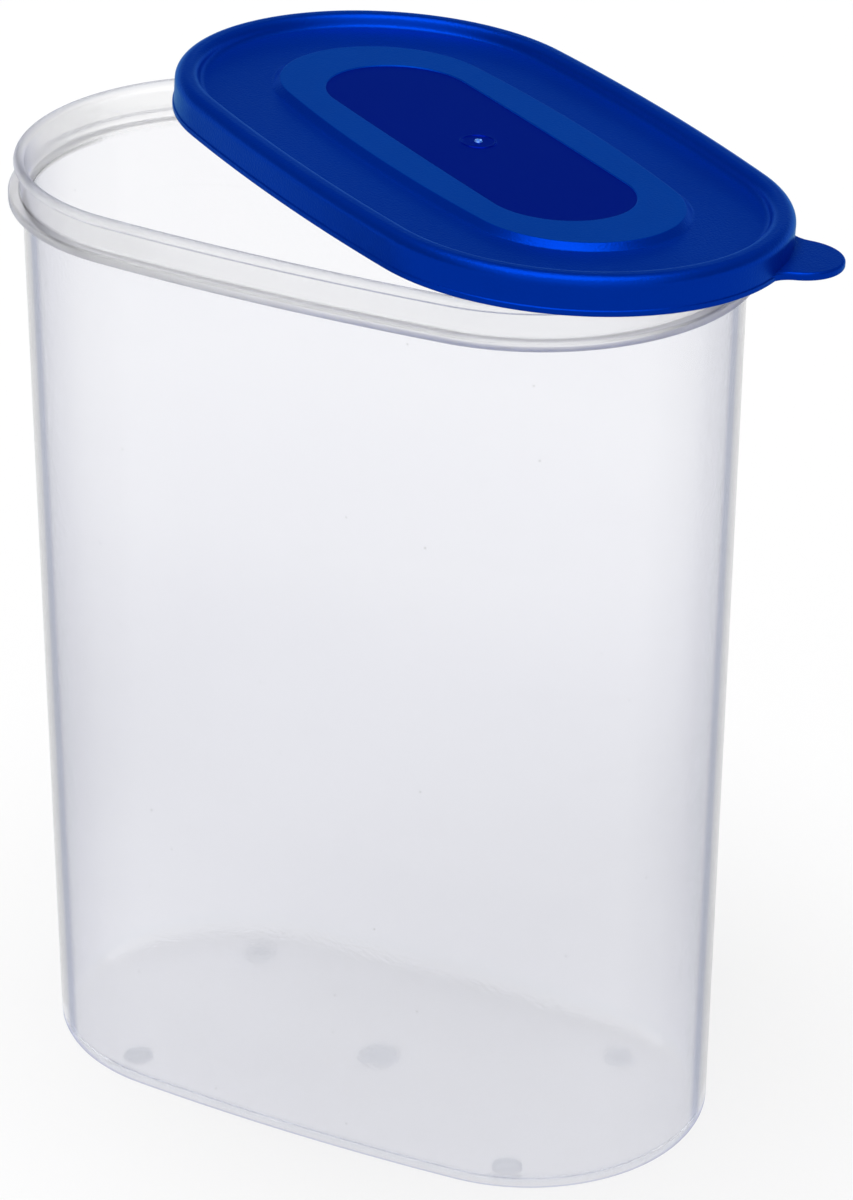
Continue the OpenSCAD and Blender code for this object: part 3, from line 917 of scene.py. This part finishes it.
# %% The tub as a piece
pad_quads = sum(len(quads) for vertices, quads, fans in pads)
pad_fans = sum(len(fans) for vertices, quads, fans in pads)
TUB_WALL_SLOT, TUB_PAD_SLOT = 0, 1
tub_finish = np.repeat(
    [TUB_WALL_SLOT, TUB_PAD_SLOT, TUB_WALL_SLOT, TUB_PAD_SLOT],
    [len(tub_skin[1]) - pad_quads, pad_quads, len(tub_skin[2]) - pad_fans, pad_fans])
tub_moulding = piece("tub_moulding", tub_skin, [frosted_plastic, frosted_pads], tub_finish)
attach(tub_moulding, "tub")
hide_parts("tub")

# %% The lid as a piece
MATT = FINISHES.index("matt")
lid_finish = np.concatenate([
    np.repeat(ring_finish[1:], STATIONS), np.full(len(tab_skin[1]), MATT),
    np.repeat(ring_finish[[0, -1]], STATIONS), np.full(len(tab_skin[2]), MATT)])
lid_moulding = piece("lid_moulding", lid_skin, blue_plastic, lid_finish)
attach(lid_moulding, "lid")
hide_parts("lid")

# %% [markdown]
# ## The floor
# The object stands on plain white card. Card lit only by lamps would be grey around the
# object, or the lamps would have to be so strong that they wash the plastic out. So the
# card glows a little, but only for rays that look at it, straight, mirrored or through
# the frosted wall. Its lit share keeps the object's shadow, and it throws little light
# back onto the object.

# %% Floor
FLOOR_HALF = 6.0
FLOOR_WHITE = 0.58
FLOOR_UNSEEN, FLOOR_SEEN = 0.3, 0.98

floor_mesh = bpy.data.meshes.new("floor")
floor_corners = FLOOR_HALF * np.array([(-1, -1, 0), (1, -1, 0), (1, 1, 0), (-1, 1, 0)])
floor_mesh.from_pydata(floor_corners.tolist(), [], [(0, 1, 2, 3)])
floor = bpy.data.objects.new("floor", floor_mesh)
bpy.context.scene.collection.objects.link(floor)

floor_material, tree, shader = blank_material("floor")
seen = any_ray(tree, "Is Camera Ray", "Is Glossy Ray", "Is Transmission Ray")
pale = ramp(tree, seen, (0.0, FLOOR_UNSEEN), (1.0, FLOOR_SEEN))
tree.links.new(pale, shader.inputs["Base Color"])
shader.inputs["Roughness"].default_value = 1.0
shader.inputs["Specular IOR Level"].default_value = 0.0
white = node(tree, "ShaderNodeEmission", {"Color": (1, 1, 1, 1), "Strength": 1.0})
glow = calculated(tree, "MULTIPLY", seen, FLOOR_WHITE)
to_output(tree, mixed_shader(tree, glow, shader, white))
floor_mesh.materials.append(floor_material)
print("floor", 2 * FLOOR_HALF, "m wide, glows by", FLOOR_WHITE)

# %% [markdown]
# ## The room
# A studio surrounds plastic with white cards and leaves dark gaps between them, which
# draw the edges. The world does the same: it is white to rays that look at it or through
# the plastic, and to mirrored rays it is white near the horizon and on one soft card in
# front, and dark elsewhere. What it gives as light is an even grey.

# %% World
ROOM_LIGHT = (0.32, 0.32, 0.32, 1)
ROOM_DARK = 0.06
HORIZON = ((0.13, 1.0), (0.20, ROOM_DARK))
CARD_TOWARDS, CARD_EDGE = (0.37, -0.64, 0.67), ((0.62, ROOM_DARK), (0.75, 1.0))

world = bpy.data.worlds.new("studio")
bpy.context.scene.world = world
world.use_nodes = True
tree = world.node_tree
tree.nodes.clear()
towards = node(tree, "ShaderNodeTexCoord").outputs["Generated"]
climb = node(tree, "ShaderNodeSeparateXYZ", {0: towards}).outputs[2]
ahead = node(tree, "ShaderNodeVectorMath", {0: towards, 1: CARD_TOWARDS},
             operation="DOT_PRODUCT").outputs["Value"]
mirrored = node(tree, "ShaderNodeMix", {
    0: 1.0, 6: ramp(tree, climb, *HORIZON), 7: ramp(tree, ahead, *CARD_EDGE)},
    data_type="RGBA", blend_type="LIGHTEN").outputs[2]
room = blended(tree, any_ray(tree, "Is Glossy Ray"), ROOM_LIGHT, mirrored)
room = blended(tree, any_ray(tree, "Is Camera Ray", "Is Transmission Ray"), room,
               (1, 1, 1, 1))
soft = node(tree, "ShaderNodeBackground", {"Color": room, "Strength": 1.0})
node(tree, "ShaderNodeOutputWorld", {"Surface": soft.outputs[0]})
print("world", world.name, "with", len(tree.nodes), "nodes")

# %% [markdown]
# ## The lamps
# A wide lamp overhead lights the lid's flats and puts the soft shadow under the tub, and
# a weaker one beside the camera lifts the skirt and the front wall. Area lamps would do
# too, but a sun gives the same light at any distance, so nothing changes when the object
# is seen from elsewhere. The wider the sun, the softer its shadows and its highlights.

# %% Lamps
def soft_sun(name, towards, angle, strength):
    """A far lamp in the direction "towards", as wide as the angle in degrees."""
    data = bpy.data.lights.new(name, "SUN")
    data.angle, data.energy = math.radians(angle), strength
    made = bpy.data.objects.new(name, data)
    bpy.context.scene.collection.objects.link(made)
    made.rotation_euler = mathutils.Vector(towards).to_track_quat("Z", "Y").to_euler()
    return made


lamps = [
    soft_sun("dome", towards=(0.02, -0.03, 1.0), angle=52, strength=2.0),
    soft_sun("front", towards=(0.55, -0.95, 1.0), angle=60, strength=0.35),
]
print("lamps", [lamp.name for lamp in lamps])

# %% [markdown]
# ## The camera
# The camera stands well back with a long lens, so the tub's sides stay nearly parallel.
# It could be aimed by a Track To constraint, but its matrix worked out from three angles
# says exactly where it stands: its back axis, the level axis to its right, and a small
# roll about the line of sight.

# %% Camera
AZIMUTH, ELEVATION, ROLL = math.radians(29.25), math.radians(26.46), math.radians(-0.25)
LENS, SENSOR, DISTANCE = 169.27, 36.0, 1.52964
TARGET = np.array([0.01448, 0.0, 0.14861])

back = np.array([math.sin(AZIMUTH) * math.cos(ELEVATION),
                 -math.cos(AZIMUTH) * math.cos(ELEVATION), math.sin(ELEVATION)])
level = np.array([math.cos(AZIMUTH), math.sin(AZIMUTH), 0.0])
down = -np.cross(back, level)
right_turned = math.cos(ROLL) * level + math.sin(ROLL) * down
down_turned = -math.sin(ROLL) * level + math.cos(ROLL) * down
placed = np.eye(4)
placed[:3, 0], placed[:3, 1], placed[:3, 2] = right_turned, -down_turned, back
placed[:3, 3] = TARGET + DISTANCE * back

camera_data = bpy.data.cameras.new("camera")
camera_data.lens, camera_data.sensor_width, camera_data.sensor_fit = LENS, SENSOR, "AUTO"
camera_data.clip_end = 50
camera = bpy.data.objects.new("camera", camera_data)
bpy.context.scene.collection.objects.link(camera)
camera.matrix_world = mathutils.Matrix(placed)
bpy.context.scene.camera = camera
bpy.context.scene.view_settings.view_transform = "Standard"
print("camera at", [round(float(v), 3) for v in placed[:3, 3]], "m")
